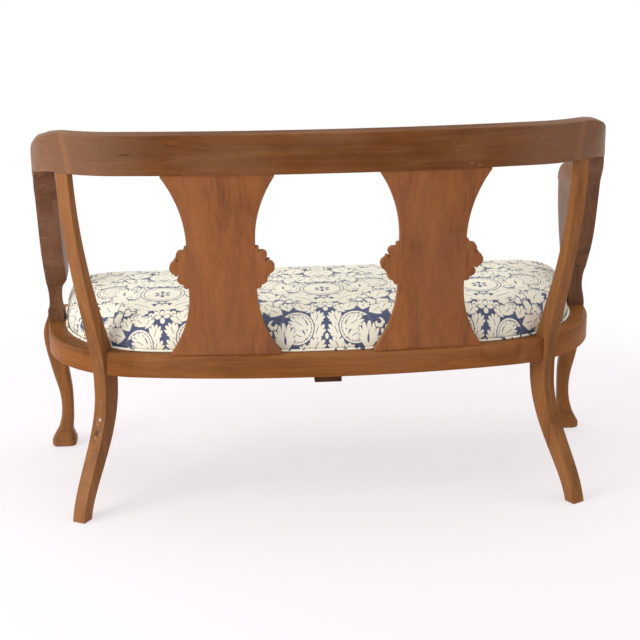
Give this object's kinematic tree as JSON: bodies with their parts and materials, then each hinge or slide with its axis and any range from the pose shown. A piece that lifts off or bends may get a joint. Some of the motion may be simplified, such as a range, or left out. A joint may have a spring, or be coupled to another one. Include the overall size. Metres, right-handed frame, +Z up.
{
  "type": "lyre arm settee",
  "caption": "Small wooden settee with a bowed crest rail, shaped back splats, lyre-shaped arm supports, sabre rear legs, cabriole front legs and a tight damask seat.",
  "frame": {"origin": "centre of the bounding box on the floor", "axes": "+X to the sitter's left along the settee's length, -Y towards the front, +Z up"},
  "size_m": [1.3136, 0.5784, 0.8498],
  "materials": {
    "polished_wood": "satin brown stain, grain along each piece",
    "plain_wood": "unfinished secondary wood",
    "dowel_wood": "plain birch dowel",
    "steel": "plain wood screws",
    "jute": "woven jute",
    "padding": "cotton and hair padding",
    "damask": "cream damask leaves on a navy ground"
  },
  "bodies": {
    "root": {"crest_rail": "polished_wood", "rear_seat_rail": "polished_wood", "front_seat_rail": "polished_wood", "arm_rail_left": "polished_wood", "arm_rail_right": "polished_wood", "arm_support_left": "polished_wood", "arm_support_right": "polished_wood", "rear_post_left": "polished_wood", "rear_post_right": "polished_wood", "splat_left": "polished_wood", "splat_right": "polished_wood", "splat_ear_outer_left": "polished_wood", "splat_ear_outer_right": "polished_wood", "splat_ear_inner_left": "polished_wood", "splat_ear_inner_right": "polished_wood", "side_seat_rail_left": "polished_wood", "side_seat_rail_right": "polished_wood", "front_leg_left": "polished_wood", "front_leg_right": "polished_wood", "seat_brace": "plain_wood", "corner_block_front_left": "plain_wood", "corner_block_front_right": "plain_wood", "corner_block_rear_left": "plain_wood", "corner_block_rear_right": "plain_wood", "crest_dowels": "dowel_wood", "arm_support_dowels": "dowel_wood", "seat_frame_dowels": "dowel_wood", "brace_screws": "steel", "corner_block_screws": "steel", "webbing_crosswise": "jute", "webbing_lengthwise": "jute", "burlap": "jute", "seat_pad": "padding", "seat_cover": "damask", "seat_welt": "damask"}
  },
  "joints": []
}
